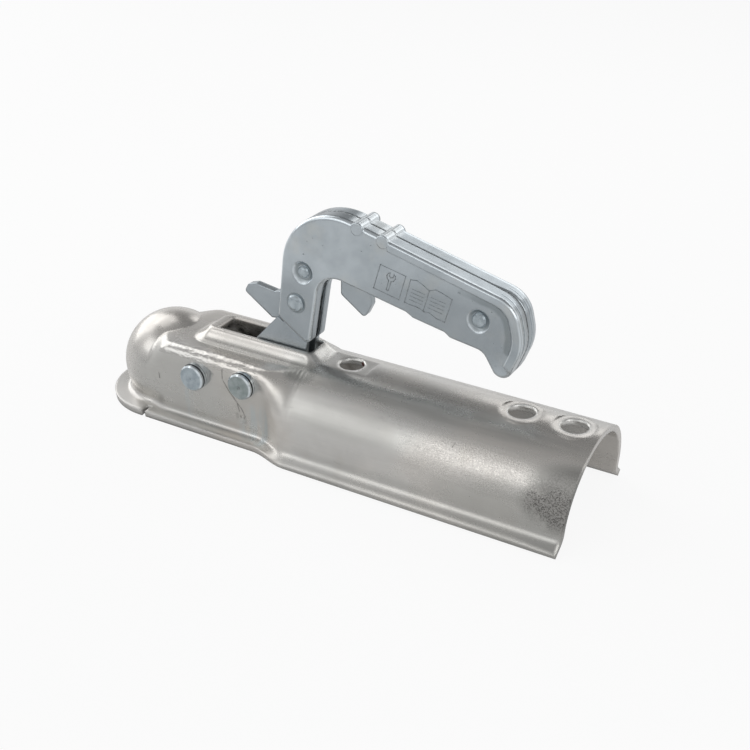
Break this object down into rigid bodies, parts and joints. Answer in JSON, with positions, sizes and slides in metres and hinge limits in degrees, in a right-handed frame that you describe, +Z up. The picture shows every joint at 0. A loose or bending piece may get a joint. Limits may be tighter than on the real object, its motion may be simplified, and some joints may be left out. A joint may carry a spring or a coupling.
{
  "type": "trailer coupling head",
  "caption": "Pressed steel trailer coupling head for a 50 mm ball, with a locking lever handle, safety trigger and open drawbar channel.",
  "frame": {"origin": "centre of the ball socket", "axes": "+X to the drawbar, +Y across to the far side in the picture, +Z up"},
  "size_m": [0.2953, 0.089, 0.1319],
  "materials": {
    "galvanised_body": "galvanised, mottled, satin",
    "zinc_sheet": "zinc plated sheet, satin",
    "bright_zinc": "zinc plated, bright",
    "turned_steel": "turned, lightly oiled",
    "spring_wire": "drawn wire, dark",
    "cast_jaw": "cast, zinc washed"
  },
  "bodies": {
    "coupling": {"body_shell": "galvanised_body", "jaw_pin": "bright_zinc", "lever_pin": "bright_zinc", "pin_washers": "bright_zinc", "retaining_clips": "bright_zinc", "jaw_spacers": "turned_steel", "lever_spacers": "turned_steel", "jaw_spring": "spring_wire"},
    "jaw": {"ball_jaw": "cast_jaw"},
    "handle": {"lever_fork": "zinc_sheet", "lever_bush": "turned_steel", "lever_spring": "spring_wire", "cam_roller": "turned_steel", "handle_shell_near": "zinc_sheet", "handle_shell_far": "zinc_sheet", "upper_rivet": "bright_zinc", "tail_rivet": "bright_zinc", "trigger_rivet": "bright_zinc", "upper_spacer": "turned_steel", "tail_spacer": "turned_steel", "trigger_spring": "spring_wire"},
    "trigger": {"trigger": "zinc_sheet"}
  },
  "joints": [
    {"name": "handle_lift", "type": "hinge", "parent": "coupling", "child": "handle", "pos_m": [0.0684, 0, 0.0145], "axis": [0, -1, 0], "range_deg": [0, 38]},
    {"name": "jaw_swing", "type": "hinge", "parent": "coupling", "child": "jaw", "pos_m": [0.0365, 0, 0.011], "axis": [0, -1, 0], "range_deg": [0, 19]},
    {"name": "trigger_pull", "type": "hinge", "parent": "handle", "child": "trigger", "pos_m": [0.0894, 0, 0.059], "axis": [0, -1, 0], "range_deg": [0, 7], "stiffness_Nm_per_rad": 0.3, "springref_deg": -17.19, "deforming": ["trigger_spring"]}
  ],
  "couplings": [
    {"joint": "jaw_swing", "follows": "handle_lift", "ratio": 0.5}
  ]
}
